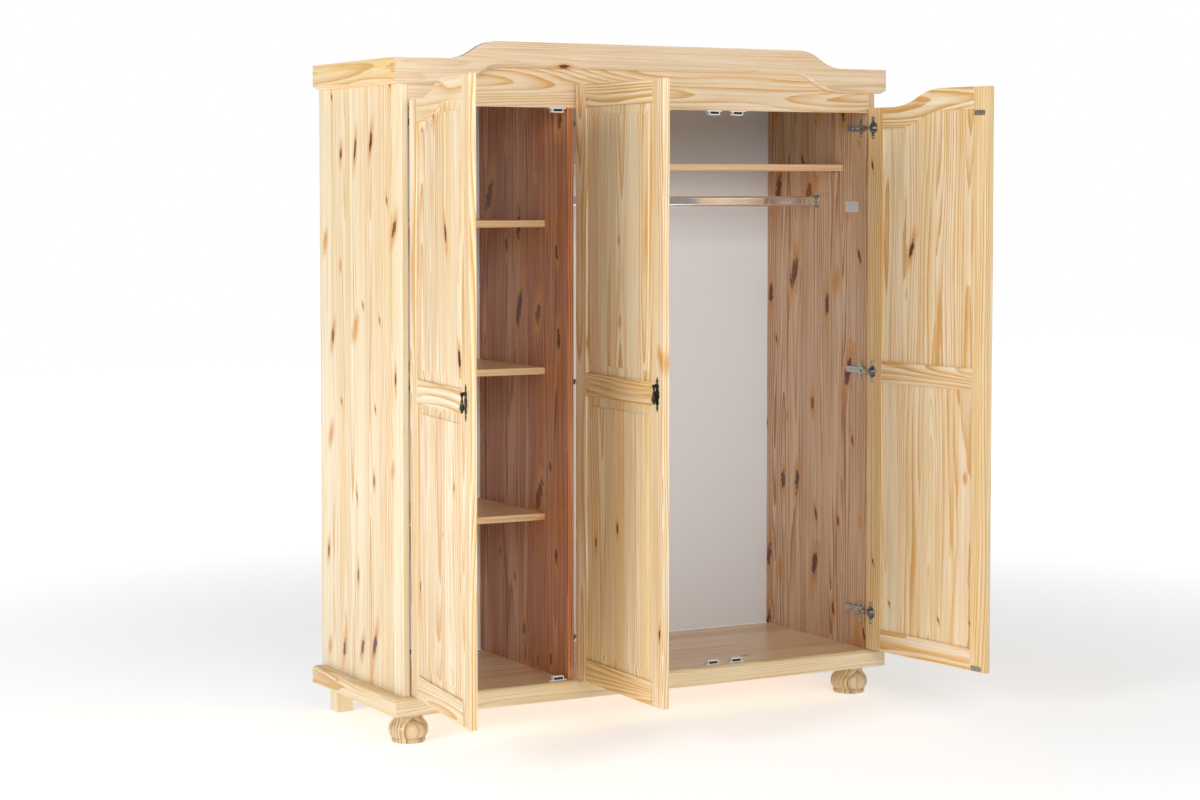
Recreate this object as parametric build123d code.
from build123d import *
import math
import os

os.makedirs("parts", exist_ok=True)

# Three-door pine wardrobe, millimetres. +X to the right, the doors face -Y, +Z up, floor at z = 0.

# ---- driving dimensions: carcass ----
carcass_width = 1500.0
carcass_depth = 550.0
carcass_top = 1804.0
panel = 19.0                 # sides, divider and shelves
thin_board = 18.0            # top board, bottom board and fascia
front = -carcass_depth / 2   # plane of the carcass's front edges
rear = carcass_depth / 2
edge_round = 2.0

# ---- base frame and feet ----
foot_height = 82.0
base_height = 50.0
floor_level = foot_height + base_height
base_side_overhang = 32.0
base_front_overhang = 21.0
base_rear_setback = 5.0
base_rail = 45.0
base_round = 11.0
board_ledge = 12.0           # rebate that carries the bottom board
bun_inset_x = 40.0
bun_inset_y = 58.0
bun_neck = 38.0                # radii of the turned foot
bun_belly = 53.5
bun_groove = 44.0
bun_ring = 46.0
bun_heights = (5.5, 11.0, 12.0, 13.5, 31.0, 52.0, 61.0, 72.0)
block_round = 1.5
block = 48.0
block_rear_setback = 9.0
block_inset = 20.0

# ---- openings, divider, shelves ----
opening_top = 1692.0
divider_right = -238.0
shelf_front_setback = 133.0
shelf_depth = 400.0
shelf_end_gap = 0.5
left_shelf_tops = (576.0, 981.0, 1387.0)
hat_shelf_top = 1545.0
back_sheet = 4.0
back_inset = 10.0
back_rebate = 9.0
back_gap = 0.5
peg_radius = 2.5
peg_hole_radius = 2.6
peg_depth = 10.0
peg_reach = 11.0
peg_setbacks = (172.0, 510.0)

# ---- crown ----
crown_side_overhang = 27.0
crown_front_overhang = 18.0
crown_low_top = 1816.0
crown_rise = 49.0
crown_face = 60.0            # height of the board's front face
crown_bevel = 8.0            # height of the bevel below it
crown_side_bevel = 13.0
crown_rear_setback = 18.0
crown_curve_near = 475.0     # the step in the crown lies between these distances from the middle
crown_curve_far = 625.0

# ---- clothes rail ----
rail_height = 30.0
rail_width = 15.0
rail_wall = 1.2
rail_z = 1437.0
rail_setback = 268.0
bracket_reach = 12.0
bracket_wall = 2.5
bracket_flange = 3.0
bracket_rim = 4.0              # flange outside the collar
bracket_clearance = 0.15
rail_end_gap = 0.5

# ---- doors ----
door_width = 492.0
door_gap = 3.0
door_thickness = 18.0
door_standoff = 2.0          # between the carcass front and a closed door
door_bottom = 138.0
door_low_top = 1706.0
door_high_top = 1754.0
door_curve_start = 100.0     # from the hinge edge
door_curve_end = 305.0
member = 61.0                # width of stiles and rails
middle_rail_z = 947.0
groove_width = 8.0
groove_depth = 9.0
groove_slack = 0.3
tongue_gap = 0.1               # each face of a tongue in its groove
panel_end_gap = 2.0            # panel edge to the groove's bottom
cutter_reach = 20.0            # how far a cutting piece runs past what it cuts
field_margin = 26.0
field_step = 2.4
field_bevel = 1.4              # rise of the bevel round the raised field
bevel_start = 0.4              # from the frame's edge
field_seat = 0.2
door_round = 2.0
left_open = 97.5
middle_open = 91.5
right_open = 97.0

# ---- door hinges ----
hinge_heights = (245.0, 947.0, 1649.0)
axis_inset = 5.0             # hinge axis from the door's hinge edge
axis_proud = 0.5             # hinge axis in front of the door's face
cup_inset = 21.5
cup_radius = 17.5
cup_wall = 1.2
cup_depth = 11.5
link_pivot_u = 33.0
link_pivot_y = 3.0
link_length = 34.0
link_lead = 2.0              # a link stays this many degrees behind its door
lug_inset = 12.3             # the cup's lug, from the hinge edge
lug_half = 1.9
lug_rise = 8.0
pin_radius = 1.5
pin_clearance = 0.06
tongue_half = 3.0
cheek_clearance = 0.2
cheek = 1.8
pin_boss = 5.0                 # width of a cheek
web_margin = 9.0               # from a pivot to the web between the cheeks
web_span = (1.0, 2.5)
plate_thickness = 2.5
plate_span = (22.0, 84.0)      # behind the carcass front
plate_half = 9.0
spine_half = 5.5
wing_span = (30.0, 43.0)
wing_half = 26.0
corner_radius = 5.0            # of the wings and the cup's flange
arm_under = 18.0               # arm's underside, from the door's closed hinge edge
arm_top = 20.0
arm_span = (12.0, 96.0)
arm_half = 8.5
arm_wall_low = 13.0
arm_wall_in = 6.0
arm_wall = 2.5
arm_nose = ((18.0, 12.0), (20.0, 30.0), (27.0, 9.0), (36.0, 6.0), (36.0, 0.5), (31.0, 0.5))
cup_flange = 1.2
cup_flange_half = 6.0
cup_flange_tall = 32.0
cup_bore_clearance = 0.1

# ---- catches, strike plates and handles ----
catch_from_hinge = 455.0
catch_length = 50.0            # over the two ears
catch_height = 13.0
catch_depth = 15.0
catch_body = 34.0              # middle part, that holds the magnet
catch_ear = 3.0                # thickness of an ear
magnet_half = 13.8
magnet_depth = 8.8
magnet_wall = 3.2              # housing above and below the magnet
magnet_clearance = 0.2
catch_setback = 0.3            # housing behind the carcass's front plane
strike_half = 20.0
strike_tall = 7.0
strike_thickness = 1.2
strike_corner = 3.0
strike_from_board = (10.0, 14.0)  # below the opening's top, above the bottom board
handle_from_hinge = 461.0
handle_z = 947.0
handle_height = 92.0
handle_width = 23.0
drop_length = 48.0
drop_standoff = 10.0
drop_rise = 22.0
handle_plate = 2.0
plate_tip_curve = (0.18, 0.80)   # share of the half width and half height
plate_shoulder = (0.55, 0.62)
plate_bulge = (0.98, 0.30)
handle_pin = 1.4
handle_pin_half = 6.0
post_start = 4.5
post_width = 2.5
post_half = 3.5
eye_radius = 4.0
eye_half = 3.8
stem_top = 3.4                 # radii of the drop
stem_waist = 2.6
bulb_radius = 6.8
bulb_neck = 4.5
bulb_foot = 3.0
bulb_heights = (8.0, 19.0, 28.0)
stem_start = -2.0

# ---- derived places ----
half = carcass_width / 2
inner = half - panel
divider_left = divider_right - panel
door_edge = (3 * door_width + 2 * door_gap) / 2
left_door_x = -door_edge
middle_door_x = -door_width / 2
right_door_x = door_edge
door_face = door_standoff + door_thickness
back_front = rear - back_inset
left_bay = (-inner, divider_left)
right_bay = (divider_right, inner)


# ---- helpers ----
def block_between(x0, x1, y0, y1, z0, z1):
    centre = Pos((x0 + x1) / 2, (y0 + y1) / 2, (z0 + z1) / 2)
    return centre * Box(abs(x1 - x0), abs(y1 - y0), abs(z1 - z0))


def prism(points, low, high):
    """Upright prism over a plan outline."""
    outline = Polyline(*points, close=True)
    return extrude(make_face(Plane.XY * outline).moved(Pos(0, 0, low)), amount=high - low, dir=(0, 0, 1))


def rod(radius, start, end):
    direction = Vector(*end) - Vector(*start)
    plane = Plane(origin=start, z_dir=direction)
    return extrude(plane * Circle(radius), amount=direction.length)


def rounded(solid, radius, keep):
    edges = solid.edges().filter_by(keep)
    return fillet(edges, radius)


def save(name, *solids):
    shape = solids[0] if len(solids) == 1 else Compound(children=list(solids))
    export_step(shape, f"parts/{name}.step")


def mirrored(shape):
    return mirror(shape, about=Plane.YZ)


def step_curve(low, high, offset, y):
    """Two equal tangent arcs from the low end to the high end, shifted by offset below the base curve."""
    (low_x, low_z), (high_x, high_z) = low, high
    width = abs(high_x - low_x)
    rise = high_z - low_z
    radius = (width ** 2 + rise ** 2) / (4 * rise)
    sweep = math.asin(width / 2 / radius)
    side = 1 if high_x > low_x else -1

    def lower(angle):
        reach = radius + offset
        return (low_x + side * reach * math.sin(angle), y, low_z + radius - reach * math.cos(angle))

    def upper(angle):
        reach = radius - offset
        return (high_x - side * reach * math.sin(angle), y, high_z - radius + reach * math.cos(angle))

    lower_arc = ThreePointArc(lower(0), lower(sweep / 2), lower(sweep))
    upper_arc = ThreePointArc(upper(sweep), upper(sweep / 2), upper(0))
    return [lower_arc, upper_arc], lower(0), upper(0)


# ---- carcass ----
def peg_places(bay, top):
    under = top - panel - peg_radius
    return [(x, front + setback, under) for x in bay for setback in peg_setbacks]


def shelf_levels(bay):
    return left_shelf_tops if bay is left_bay else (hat_shelf_top,)


def peg_holes(x_side, toward, levels):
    holes = []
    for top in levels:
        for setback in peg_setbacks:
            start = (x_side - toward * 1.0, front + setback, top - panel - peg_radius)
            end = (x_side + toward * peg_depth, front + setback, top - panel - peg_radius)
            holes.append(rod(peg_hole_radius, start, end))
    return holes


def side_panel(levels):
    body = block_between(-half, -inner, front, rear, floor_level, carcass_top)
    rebate = block_between(-inner - back_rebate, -inner, back_front, rear, floor_level, carcass_top)
    body = rounded(body, edge_round, lambda e: is_upright(e) and e.center().Y < front + 1)
    body -= rebate
    for hole in peg_holes(-inner, -1, levels):
        body -= hole
    return body


def is_upright(edge):
    return abs(edge.tangent_at(0).Z) > 0.99


def divider_panel():
    body = block_between(divider_left, divider_right, front, back_front, floor_level, carcass_top - thin_board)
    body -= block_between(divider_left, divider_right, front, front + thin_board, opening_top, carcass_top)
    body = rounded(body, edge_round, lambda e: is_upright(e) and e.center().Y < front + 1)
    for hole in peg_holes(divider_left, 1, left_shelf_tops) + peg_holes(divider_right, -1, (hat_shelf_top,)):
        body -= hole
    return body


def bottom_board():
    reach_x = half + base_side_overhang - base_rail + board_ledge
    front_y = front - base_front_overhang + base_rail - board_ledge
    rear_y = rear - base_rear_setback - base_rail + board_ledge
    return block_between(-reach_x, reach_x, front_y, rear_y, floor_level - thin_board, floor_level)


def top_board():
    return block_between(-inner, inner, front + thin_board, back_front, carcass_top - thin_board, carcass_top)


def fascia_rail():
    return block_between(-inner, inner, front, front + thin_board, opening_top, carcass_top)


def shelf(bay, top):
    front_y = front + shelf_front_setback
    left, right = bay[0] + shelf_end_gap, bay[1] - shelf_end_gap
    body = block_between(left, right, front_y, front_y + shelf_depth, top - panel, top)
    return rounded(body, edge_round, lambda e: e.center().Y < front_y + 1 and abs(e.tangent_at(0).X) > 0.99)


def peg(place, toward):
    x, y, z = place
    return rod(peg_radius, (x - toward * peg_depth, y, z), (x + toward * peg_reach, y, z))


def shelf_pegs():
    pegs = []
    for bay in (left_bay, right_bay):
        for top in shelf_levels(bay):
            for place in peg_places(bay, top):
                pegs.append(peg(place, 1 if place[0] == bay[0] else -1))
    return pegs


def back_panel(x0, x1):
    return block_between(x0, x1, back_front, back_front + back_sheet, floor_level, carcass_top)


# ---- crown ----
def crown_outline(offset):
    """Closed outline of the front board down to the given offset below its top edge."""
    y = front - crown_front_overhang
    end = half + crown_side_overhang
    edges = []
    ends = []
    for level in (0.0, offset):
        left, left_low, left_high = step_curve(
            (-crown_curve_far, crown_low_top), (-crown_curve_near, crown_low_top + crown_rise), level, y)
        right, right_low, right_high = step_curve(
            (crown_curve_far, crown_low_top), (crown_curve_near, crown_low_top + crown_rise), level, y)
        low = (-end, y, crown_low_top - level)
        high = (end, y, crown_low_top - level)
        edges += left + right
        edges += [Line(low, left_low), Line(left_high, right_high), Line(right_low, high)]
        ends.append((low, high))
    edges += [Line(ends[0][0], ends[1][0]), Line(ends[0][1], ends[1][1])]
    return Face(Wire(edges))


def crown_front_board():
    board = extrude(crown_outline(crown_face + crown_bevel), amount=crown_front_overhang, dir=(0, 1, 0))
    face_y = front - crown_front_overhang
    face = board.faces().sort_by(Axis.Y)[0]
    end = half + crown_side_overhang
    lower = [e for e in face.edges() if e.center().Z < crown_low_top - 1 and abs(e.center().X) < end - 1]
    depth = crown_side_bevel * crown_front_overhang / crown_side_overhang
    board = chamfer(lower, length=crown_bevel, length2=depth, reference=face)
    for side in (-1, 1):
        corner = [(side * end, face_y), (side * half, front), (side * end, front)]
        board -= prism(corner, crown_low_top - 200, crown_low_top + 100)
    return board


def crown_side_return():
    outer = -half - crown_side_overhang
    bottom = crown_low_top - crown_face - crown_bevel
    profile = Polyline(
        (outer, crown_low_top), (outer, bottom + crown_bevel), (outer + crown_side_bevel, bottom),
        (-half, bottom), (-half, crown_low_top), close=True)
    start = front - crown_front_overhang
    length = rear - crown_rear_setback - start
    board = extrude(make_face(Plane.XZ * profile).moved(Pos(0, start, 0)), amount=length, dir=(0, 1, 0))
    corner = [(outer, start), (-half, start), (-half, front)]
    return board - prism(corner, bottom - 10, crown_low_top + 10)


# ---- base frame and feet ----
def base_rail_piece(length):
    """Mitred rail along X, outer face at y = 0, inner face at y = base_rail."""
    profile = block_between(-length / 2, length / 2, 0, base_rail, foot_height, floor_level)
    profile = rounded(
        profile, base_round,
        lambda e: abs(e.tangent_at(0).X) > 0.99 and e.center().Y < 1 and e.center().Z > floor_level - 1)
    ledge = block_between(
        -length / 2, length / 2, base_rail - board_ledge, base_rail, floor_level - thin_board, floor_level)
    rail = profile - ledge
    for side in (-1, 1):
        end = side * length / 2
        corner = [(end, 0), (end, base_rail), (end - side * base_rail, base_rail)]
        rail -= prism(corner, foot_height - 5, floor_level + 5)
    return rail


def bun_foot():
    ring_middle, ring_top, groove_z, belly_low, belly_z, belly_high, curve_z, neck_z = bun_heights
    foot = (bun_ring - 2, 0, 0)
    ring_edge = (bun_ring - 1, 0, ring_top)
    groove = (bun_groove, 0, groove_z)
    low = (bun_ring + 0.5, 0, belly_low)
    high = (bun_ring + 0.5, 0, belly_high)
    neck = (bun_neck, 0, neck_z)
    top = (bun_neck, 0, foot_height)
    profile = [
        Line((0, 0, 0), foot),
        ThreePointArc(foot, (bun_ring, 0, ring_middle), ring_edge),
        Line(ring_edge, groove),
        Line(groove, low),
        ThreePointArc(low, (bun_belly, 0, belly_z), high),
        ThreePointArc(high, (bun_neck + 2, 0, curve_z), neck),
        Line(neck, top),
        Line(top, (0, 0, foot_height)),
        Line((0, 0, foot_height), (0, 0, 0)),
    ]
    return revolve(Face(Wire(profile)), axis=Axis.Z)


def block_foot():
    body = block_between(-block / 2, block / 2, -block / 2, block / 2, 0, foot_height)
    return rounded(body, block_round, is_upright)


# ---- clothes rail ----
def rail_profile(margin):
    plane = Plane(origin=(0, front + rail_setback, rail_z), x_dir=(0, 0, 1), z_dir=(1, 0, 0))
    return plane * SlotOverall(rail_height + 2 * margin, rail_width + 2 * margin)


def rail_piece(margin, x0, x1):
    return extrude(rail_profile(margin).moved(Pos(x0, 0, 0)), amount=x1 - x0, dir=(1, 0, 0))


def clothes_rail():
    end_gap = bracket_flange + rail_end_gap
    x0 = right_bay[0] + end_gap
    x1 = right_bay[1] - end_gap
    return rail_piece(0, x0, x1) - rail_piece(-rail_wall, x0, x1)


def rail_bracket(x, toward):
    wall_side = x + toward * bracket_flange
    inside = wall_side + toward * bracket_reach
    flange = rail_piece(bracket_wall + bracket_rim, min(x, wall_side), max(x, wall_side))
    collar = rail_piece(bracket_wall, min(x, inside), max(x, inside))
    socket = rail_piece(bracket_clearance, min(wall_side, inside + toward), max(wall_side, inside + toward))
    return flange + collar - socket


# ---- door hinges, in door coordinates: u along X from the closed hinge edge, y from the carcass front ----
def hinge_plate(z, overlay):
    top = overlay + plate_thickness
    wings = block_between(overlay, top, *wing_span, z - wing_half, z + wing_half)
    wings = rounded(wings, corner_radius, lambda e: abs(e.tangent_at(0).X) > 0.99)
    spine = block_between(top, arm_under, *plate_span, z - spine_half, z + spine_half)
    return wings + spine + block_between(overlay, top, *plate_span, z - plate_half, z + plate_half)


def hinge_arm(z):
    top = block_between(arm_under, arm_top, *arm_span, z - arm_half, z + arm_half)
    for side in (-1, 1):
        inside = z + side * arm_wall_in
        top += block_between(arm_wall_low, arm_under, *arm_span, inside, inside + side * arm_wall)
    nose = make_face(Polyline(*arm_nose, close=True))
    tongue = extrude(nose.moved(Pos(0, 0, z - tongue_half)), amount=2 * tongue_half, dir=(0, 0, 1))
    pin_half = tongue_half + cheek_clearance + cheek
    pin_ends = [(link_pivot_u, link_pivot_y, z + side * pin_half) for side in (-1, 1)]
    pin = rod(pin_radius, *pin_ends)
    return top + tongue + pin


def hinge_link(z, opening):
    """Two cheeks and a web, swung with the door."""
    inside = tongue_half + cheek_clearance
    outline = SlotCenterToCenter(link_length, pin_boss)
    link = None
    for side in (-1, 1):
        low = inside if side > 0 else -inside - cheek
        cheek_plate = extrude(outline.moved(Pos(link_length / 2, 0, low)), amount=cheek, dir=(0, 0, 1))
        link = cheek_plate if link is None else link + cheek_plate
    link += block_between(web_margin, link_length - web_margin, *web_span, -inside - cheek, inside + cheek)
    reach = inside + 2 * cheek
    hole = rod(pin_radius + pin_clearance, (0, 0, -reach), (0, 0, reach))
    far_hole = rod(pin_radius, (link_length, 0, -reach), (link_length, 0, reach))
    link = link - hole - far_hole
    return link.moved(Pos(link_pivot_u, link_pivot_y, z) * Rot(0, 0, link_lead - opening))


def hinge_cup(z):
    back = -door_standoff
    centre = (cup_inset, back, z)
    bottom = (cup_inset, back - cup_depth, z)
    inside = (cup_inset, back - cup_depth + cup_wall, z)
    shell = rod(cup_radius, centre, bottom) - rod(cup_radius - cup_wall, centre, inside)
    flange = block_between(
        cup_inset - cup_flange_half, cup_inset + cup_flange_half, back, back + cup_flange,
        z - cup_flange_tall, z + cup_flange_tall)
    flange = rounded(flange, corner_radius, lambda e: abs(e.tangent_at(0).Y) > 0.99)
    flange -= rod(cup_radius - cup_wall, (cup_inset, back - 1, z), (cup_inset, back + 5, z))
    lug = block_between(
        lug_inset - lug_half, lug_inset + lug_half, back - cup_depth + 1, back + lug_rise,
        z - tongue_half, z + tongue_half)
    return shell + flange + lug


def hinge_cup_bore(z):
    back = -door_standoff
    bottom = back - cup_depth - cup_bore_clearance
    return rod(cup_radius + cup_bore_clearance, (cup_inset, back + 1, z), (cup_inset, bottom, z))


# ---- doors, hinge edge at u = 0, drawn closed and hinged on the left ----
groove_back = -door_standoff - (door_thickness - groove_width) / 2
groove_front = groove_back - groove_width
opening_left = member
opening_right = door_width - member
lower_opening = (door_bottom + member, middle_rail_z - member / 2)
upper_opening_low = middle_rail_z + member / 2


def door_top(offset, y, arched, x0, x1):
    """Edges of the door's top line between x0 and x1, offset below the top edge."""
    if not arched:
        start = (x0, y, door_high_top - offset)
        end = (x1, y, door_high_top - offset)
        return [Line(start, end)], start, end
    start = (x0, y, door_low_top - offset)
    end = (x1, y, door_high_top - offset)
    curve, low, high = step_curve(
        (door_curve_start, door_low_top), (door_curve_end, door_high_top), offset, y)
    return [Line(start, low)] + curve + [Line(high, end)], start, end


def closed_face(edges, start, end, x0, x1, y, bottom):
    corners = [(x0, y, bottom), (x1, y, bottom)]
    sides = [Line(start, corners[0]), Line(corners[0], corners[1]), Line(corners[1], end)]
    return Face(Wire(edges + sides))


def stile(x0, x1, top, groove_side):
    body = block_between(x0, x1, -door_face, -door_standoff, door_bottom, top)
    body = rounded(body, door_round, lambda e: is_upright(e) and e.center().Y < -door_face + 1)
    if groove_side > 0:
        body -= block_between(x1 - groove_depth, x1, groove_front, groove_back, door_bottom, top)
    else:
        body -= block_between(x0, x0 + groove_depth, groove_front, groove_back, door_bottom, top)
    return body


def straight_rail(bottom, top, groove_above, groove_below):
    body = block_between(opening_left, opening_right, -door_face, -door_standoff, bottom, top)
    reach = groove_depth - groove_slack
    body += block_between(
        opening_left - reach, opening_right + reach,
        groove_front + tongue_gap, groove_back - tongue_gap, bottom, top)
    x0 = opening_left - cutter_reach
    x1 = opening_right + cutter_reach
    if groove_above:
        body -= block_between(x0, x1, groove_front, groove_back, top - groove_depth, top)
    if groove_below:
        body -= block_between(x0, x1, groove_front, groove_back, bottom, bottom + groove_depth)
    return body


def top_rail(arched):
    def band(offset_low, x0, x1, y0, y1):
        upper, upper_start, upper_end = door_top(0.0, y0, arched, x0, x1)
        lower, lower_start, lower_end = door_top(offset_low, y0, arched, x0, x1)
        edges = upper + lower + [Line(upper_start, lower_start), Line(upper_end, lower_end)]
        return extrude(Face(Wire(edges)), amount=y1 - y0, dir=(0, 1, 0))

    body = band(member, opening_left, opening_right, -door_face, -door_standoff)
    reach = groove_depth - groove_slack
    body += band(member - groove_depth, opening_left - reach, opening_right + reach,
                 groove_front + tongue_gap, groove_back - tongue_gap)
    body -= groove_in_top_rail(arched)
    return body


def groove_in_top_rail(arched):
    x0 = opening_left - cutter_reach
    x1 = opening_right + cutter_reach
    upper, upper_start, upper_end = door_top(member - groove_depth, groove_front, arched, x0, x1)
    lower, lower_start, lower_end = door_top(member + 5, groove_front, arched, x0, x1)
    edges = upper + lower + [Line(upper_start, lower_start), Line(upper_end, lower_end)]
    return extrude(Face(Wire(edges)), amount=groove_width, dir=(0, 1, 0))


def raised_panel(bottom, top_line):
    """Panel in its grooves; top_line(offset, y, x0, x1) gives the opening's upper edge."""
    tongue = groove_depth - panel_end_gap

    def outline(margin, y):
        x0 = opening_left + margin
        x1 = opening_right - margin
        edges, start, end = top_line(margin, y, x0, x1)
        return closed_face(edges, start, end, x0, x1, y, bottom + margin)

    back = groove_back - tongue_gap
    sheet_front = groove_front + tongue_gap
    sheet = extrude(outline(-tongue, back), amount=back - sheet_front, dir=(0, -1, 0))
    bevel_front = sheet_front - field_bevel
    bevel_low = outline(bevel_start, sheet_front).outer_wire()
    bevel_high = outline(field_margin, bevel_front).outer_wire()
    bevel = Solid.make_loft([bevel_low, bevel_high], ruled=True)
    field_outline = outline(field_margin, bevel_front + field_seat)
    field = extrude(field_outline, amount=field_step + field_seat, dir=(0, -1, 0))
    return sheet + bevel + field


def upper_panel(arched):
    return raised_panel(
        upper_opening_low, lambda margin, y, x0, x1: door_top(member + margin, y, arched, x0, x1))


def lower_panel():
    def flat_top(margin, y, x0, x1):
        start = (x0, y, lower_opening[1] - margin)
        end = (x1, y, lower_opening[1] - margin)
        return [Line(start, end)], start, end
    return raised_panel(lower_opening[0], flat_top)


def strike_plate(z):
    back = -door_standoff
    plate = block_between(
        catch_from_hinge - strike_half, catch_from_hinge + strike_half, back, back + strike_thickness,
        z - strike_tall, z + strike_tall)
    return rounded(plate, strike_corner, lambda e: abs(e.tangent_at(0).Y) > 0.99)


def handle_backplate():
    """Pointed plate with a waist, two staple posts and the pin that carries the drop."""
    y = -door_face
    tall = handle_height / 2
    wide = handle_width / 2
    centre_x = handle_from_hinge

    def outline_point(share, side, end):
        return (centre_x + side * wide * share[0], y, handle_z + end * tall * share[1])

    edges = []
    for side in (-1, 1):
        for end in (-1, 1):
            tip = outline_point((0, 1), side, end)
            between = outline_point(plate_tip_curve, side, end)
            shoulder = outline_point(plate_shoulder, side, end)
            bulge = outline_point(plate_bulge, side, end)
            waist = outline_point((1, 0), side, end)
            edges.append(ThreePointArc(tip, between, shoulder))
            edges.append(ThreePointArc(shoulder, bulge, waist))
    plate = extrude(Face(Wire(edges)), amount=handle_plate, dir=(0, -1, 0))
    pivot = handle_pivot()
    for side in (-1, 1):
        start = pivot[0] + side * post_start
        plate += block_between(
            start, start + side * post_width, pivot[1] - post_width, y,
            pivot[2] - post_half, pivot[2] + post_half)
    pin_ends = [(pivot[0] + side * handle_pin_half, pivot[1], pivot[2]) for side in (-1, 1)]
    plate += rod(handle_pin, *pin_ends)
    return plate


def handle_pivot():
    return (handle_from_hinge, -door_face - drop_standoff, handle_z + drop_rise)


def handle_drop():
    """Eye on the pin, a waisted stem and a flattened bulb."""
    x, y, z = handle_pivot()
    eye = rod(eye_radius, (x - eye_half, y, z), (x + eye_half, y, z))
    bulb_z, neck_z, waist_z = [height - drop_length for height in bulb_heights]
    tip = (bulb_foot, 0, -drop_length)
    neck = (bulb_neck, 0, neck_z)
    top = (stem_top, 0, stem_start)
    profile = [
        Line((0, 0, -drop_length), tip),
        ThreePointArc(tip, (bulb_radius, 0, bulb_z), neck),
        ThreePointArc(neck, (stem_waist, 0, waist_z), top),
        Line(top, (0, 0, stem_start)),
        Line((0, 0, stem_start), (0, 0, -drop_length)),
    ]
    stem = revolve(Face(Wire(profile)), axis=Axis.Z).moved(Pos(x, y, z))
    drop = eye + stem
    pin_bore = handle_pin + pin_clearance
    return drop - rod(pin_bore, (x - 2 * handle_pin_half, y, z), (x + 2 * handle_pin_half, y, z))


def place_door(shape, opening, edge_x, flipped):
    """Swings a closed left-hinged shape about the hinge axis and puts it on the carcass."""
    axis = Pos(axis_inset, -door_face - axis_proud, 0)
    swung = shape.moved(axis * Rot(0, 0, -opening) * axis.inverse())
    if flipped:
        swung = mirrored(swung)
    return swung.moved(Pos(edge_x, front, 0))


def place_link(shape, edge_x, flipped):
    if flipped:
        shape = mirrored(shape)
    return shape.moved(Pos(edge_x, front, 0))


def save_door(name, opening, edge_x, flipped, arched):
    def put(piece, *shapes):
        save(f"{name}_door_{piece}", *[place_door(s, opening, edge_x, flipped) for s in shapes])

    hinge_top = door_low_top if arched else door_high_top
    hinge_stile = stile(0, member, hinge_top, 1)
    for z in hinge_heights:
        hinge_stile -= hinge_cup_bore(z)
    put("hinge_stile", hinge_stile)
    put("lock_stile", stile(opening_right, door_width, door_high_top, -1))
    put("top_rail", top_rail(arched))
    put("middle_rail", straight_rail(middle_rail_z - member / 2, middle_rail_z + member / 2, True, True))
    put("bottom_rail", straight_rail(door_bottom, door_bottom + member, True, False))
    put("upper_panel", upper_panel(arched))
    put("lower_panel", lower_panel())
    put("hinge_cups", *[hinge_cup(z) for z in hinge_heights])
    put("strike_plates", *[
        strike_plate(z) for z in (opening_top - strike_from_board[0], floor_level + strike_from_board[1])])
    put("handle_backplate", handle_backplate())
    put("handle_drop", handle_drop())
    links = [place_link(hinge_link(z, opening), edge_x, flipped) for z in hinge_heights]
    save(f"{name}_door_hinge_links", *links)


# ---- catches ----
def catch_place(edge_x, toward):
    return edge_x + toward * catch_from_hinge


def catch_parts(x, board, away):
    """Housing with two ears on the board it is screwed to, and a magnet bar let into its front."""
    face = front + catch_setback
    low, high = sorted((board, board + away * catch_height))
    ear_low, ear_high = sorted((board, board + away * catch_ear))
    half_ears = catch_length / 2
    half_body = catch_body / 2
    body = block_between(x - half_body, x + half_body, face, face + catch_depth, low, high)
    ears = block_between(x - half_ears, x + half_ears, face, face + catch_depth, ear_low, ear_high)
    slot_half = magnet_half + magnet_clearance
    slot = block_between(
        x - slot_half, x + slot_half, face, face + magnet_depth + magnet_clearance,
        low + magnet_wall - magnet_clearance, high - magnet_wall + magnet_clearance)
    magnet = block_between(
        x - magnet_half, x + magnet_half, face, face + magnet_depth, low + magnet_wall, high - magnet_wall)
    return body + ears - slot, magnet


# ---- write every piece ----
left_side = side_panel(left_shelf_tops)
save("left_side_panel", left_side)
save("right_side_panel", mirrored(side_panel((hat_shelf_top,))))
save("divider_panel", divider_panel())
save("bottom_board", bottom_board())
save("top_board", top_board())
save("fascia_rail", fascia_rail())
save("left_shelves", *[shelf(left_bay, top) for top in left_shelf_tops])
save("hat_shelf", shelf(right_bay, hat_shelf_top))
save("shelf_pegs", *shelf_pegs())
divider_middle = (divider_left + divider_right) / 2
save("back_panel_left", back_panel(-inner - back_rebate + back_gap, divider_middle - back_gap))
save("back_panel_right", back_panel(divider_middle + back_gap, inner + back_rebate - back_gap))

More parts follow.
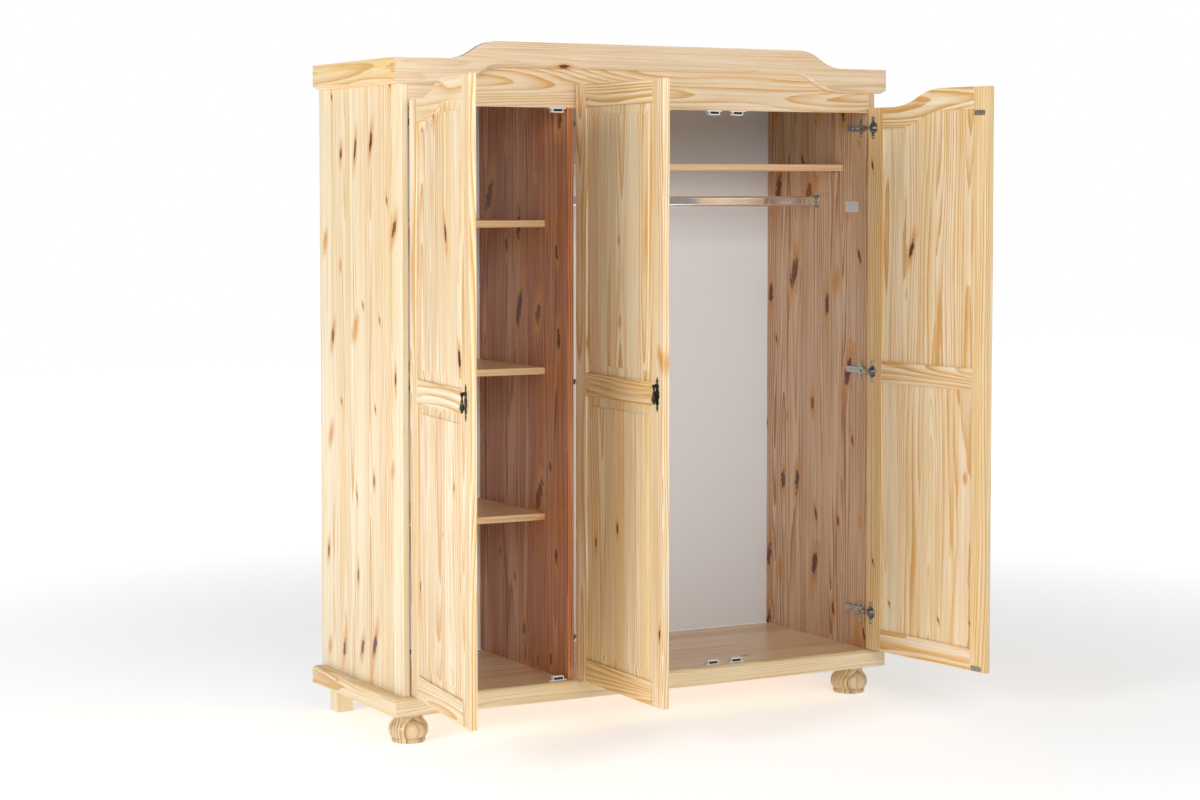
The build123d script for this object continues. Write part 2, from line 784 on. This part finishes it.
save("crown_front_board", crown_front_board())
crown_return = crown_side_return()
save("crown_side_returns", crown_return, mirrored(crown_return))

base_width = carcass_width + 2 * base_side_overhang
base_front = front - base_front_overhang
base_rear = rear - base_rear_setback
long_rail = base_rail_piece(base_width)
short_rail = base_rail_piece(base_rear - base_front)
base_middle = (base_front + base_rear) / 2
save("base_front_rail", long_rail.moved(Pos(0, base_front, 0)))
save("base_back_rail", long_rail.moved(Pos(0, base_rear, 0) * Rot(0, 0, 180)))
save("base_side_rails",
     short_rail.moved(Pos(-base_width / 2, base_middle, 0) * Rot(0, 0, -90)),
     short_rail.moved(Pos(base_width / 2, base_middle, 0) * Rot(0, 0, 90)))
bun_x = half - bun_inset_x
block_x = half - block_inset - block / 2
block_y = rear - block_rear_setback - block / 2
save("front_bun_feet", *[bun_foot().moved(Pos(s * bun_x, front + bun_inset_y, 0)) for s in (-1, 1)])
save("rear_block_feet", *[block_foot().moved(Pos(s * block_x, block_y, 0)) for s in (-1, 1)])

save("clothes_rail", clothes_rail())
save("clothes_rail_brackets", rail_bracket(right_bay[0], 1), rail_bracket(right_bay[1], -1))

outer_overlay = -inner - left_door_x
middle_overlay = divider_right - middle_door_x
plates = []
arms = []
for edge_x, flipped, overlay in (
        (left_door_x, False, outer_overlay),
        (middle_door_x, False, middle_overlay),
        (right_door_x, True, outer_overlay)):
    for z in hinge_heights:
        plates.append(place_link(hinge_plate(z, overlay), edge_x, flipped))
        arms.append(place_link(hinge_arm(z), edge_x, flipped))
save("hinge_plates", *plates)
save("hinge_arms", *arms)

housings = []
magnets = []
for x in (catch_place(left_door_x, 1), catch_place(middle_door_x, 1), catch_place(right_door_x, -1)):
    for board, away in ((floor_level, 1), (opening_top, -1)):
        housing, magnet = catch_parts(x, board, away)
        housings.append(housing)
        magnets.append(magnet)
save("catch_housings", *housings)
save("catch_magnets", *magnets)

save_door("left", left_open, left_door_x, False, True)
save_door("middle", middle_open, middle_door_x, False, False)
save_door("right", right_open, right_door_x, True, True)
